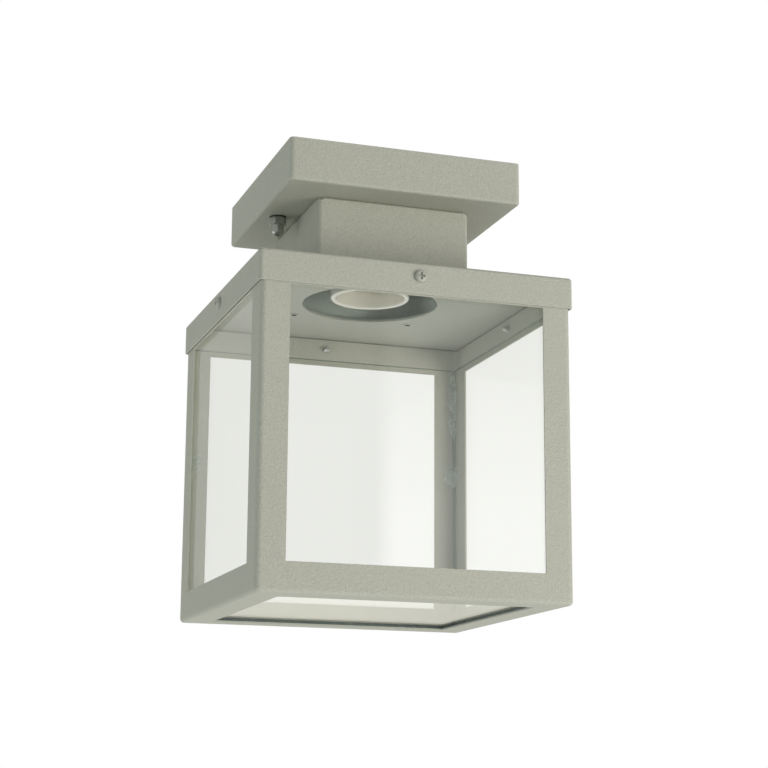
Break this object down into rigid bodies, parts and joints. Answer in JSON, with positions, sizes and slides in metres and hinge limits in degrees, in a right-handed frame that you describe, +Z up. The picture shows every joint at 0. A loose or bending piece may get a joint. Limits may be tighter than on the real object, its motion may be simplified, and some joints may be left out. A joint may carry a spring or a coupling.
{
  "type": "outdoor ceiling lantern",
  "caption": "Square sheet-metal porch lantern for a ceiling: canopy, neck and roof tray over a glazed cage, with a screw-in lampholder and a hidden mounting bar.",
  "frame": {"origin": "middle of the ceiling plane, on the upper face of the mounting bar", "axes": "+Z up into the ceiling, front of the lantern faces -Y, +X to its right"},
  "size_m": [0.205, 0.205, 0.2825],
  "materials": {
    "powder_coat": "matt grey-green powder coat with a fine grain",
    "zinc": "bright zinc plate",
    "dark_steel": "blackened steel",
    "bright_nickel": "nickel plate",
    "screw_steel": "plain stainless steel",
    "spring_steel": "bare spring steel",
    "brass": "bare brass",
    "porcelain": "cream glazed porcelain",
    "block_plastic": "off-white moulded plastic",
    "black_rubber": "dark rubber",
    "brown_sleeve": "brown lead insulation",
    "blue_sleeve": "blue lead insulation",
    "green_sleeve": "green lead insulation with a yellow stripe",
    "clear_glass": "clear float glass with a green edge",
    "clear_silicone": "clear silicone"
  },
  "bodies": {
    "lantern": {"block_screws": "zinc", "bottom_seal": "black_rubber", "cage_frame": "powder_coat", "canopy": "powder_coat", "contact_spring": "spring_steel", "earth_lead": "green_sleeve", "earth_nut": "zinc", "earth_stud": "zinc", "earth_tag": "brass", "glass_back": "clear_glass", "glass_bottom": "clear_glass", "glass_front": "clear_glass", "glass_left": "clear_glass", "glass_right": "clear_glass", "lampholder_body": "porcelain", "lampholder_screws": "zinc", "lampholder_shell": "brass", "lead_grommet": "black_rubber", "live_lead": "brown_sleeve", "mounting_bar": "zinc", "mounting_studs": "zinc", "neck": "powder_coat", "neck_bottom_rivets": "powder_coat", "neck_top_rivets": "zinc", "neutral_lead": "blue_sleeve", "roof": "powder_coat", "shell_rivets": "brass", "silicone_dabs": "clear_silicone", "stud_lock_nuts": "zinc", "terminal_block": "block_plastic", "terminal_screws": "zinc", "terminal_tubes": "brass", "wiring_posts": "brass"},
    "cap_washer_left": {"cap_washer_left": "dark_steel"},
    "cap_nut_left": {"cap_nut_left": "bright_nickel"},
    "cap_washer_right": {"cap_washer_right": "dark_steel"},
    "cap_nut_right": {"cap_nut_right": "bright_nickel"},
    "roof_screw_front": {"roof_screw_front": "screw_steel"},
    "roof_screw_back": {"roof_screw_back": "screw_steel"},
    "roof_screw_left": {"roof_screw_left": "screw_steel"},
    "roof_screw_right": {"roof_screw_right": "screw_steel"},
    "contact": {"contact_plunger": "brass", "contact_clip": "spring_steel"}
  },
  "joints": [
    {"name": "cap_washer_left_slide", "type": "slide", "parent": "lantern", "child": "cap_washer_left", "axis": [0, 0, -1], "range_m": [0, 0.008]},
    {"name": "cap_nut_left_turn", "type": "hinge", "parent": "cap_washer_left", "child": "cap_nut_left", "pos_m": [-0.06288, 0, -0.0283], "axis": [0, 0, -1], "range_deg": [0, 2880]},
    {"name": "cap_washer_right_slide", "type": "slide", "parent": "lantern", "child": "cap_washer_right", "axis": [0, 0, -1], "range_m": [0, 0.008]},
    {"name": "cap_nut_right_turn", "type": "hinge", "parent": "cap_washer_right", "child": "cap_nut_right", "pos_m": [0.06288, 0, -0.0283], "axis": [0, 0, -1], "range_deg": [0, 2880]},
    {"name": "roof_screw_front_turn", "type": "hinge", "parent": "lantern", "child": "roof_screw_front", "pos_m": [0, -0.1, -0.0887], "axis": [0, -1, 0], "continuous": true},
    {"name": "roof_screw_back_turn", "type": "hinge", "parent": "lantern", "child": "roof_screw_back", "pos_m": [0, 0.1, -0.0887], "axis": [0, 1, 0], "continuous": true},
    {"name": "roof_screw_left_turn", "type": "hinge", "parent": "lantern", "child": "roof_screw_left", "pos_m": [-0.1, 0, -0.0887], "axis": [-1, 0, 0], "continuous": true},
    {"name": "roof_screw_right_turn", "type": "hinge", "parent": "lantern", "child": "roof_screw_right", "pos_m": [0.1, 0, -0.0887], "axis": [1, 0, 0], "continuous": true},
    {"name": "contact_press", "type": "slide", "parent": "lantern", "child": "contact", "axis": [0, 0, 1], "range_m": [0, 0.0022], "stiffness_N_per_m": 1500, "deforming": ["contact_spring"]}
  ],
  "couplings": [
    {"joint": "cap_nut_left_turn", "follows": "cap_washer_left_slide", "rad_per_m": 6283.2},
    {"joint": "cap_nut_right_turn", "follows": "cap_washer_right_slide", "rad_per_m": 6283.2}
  ]
}
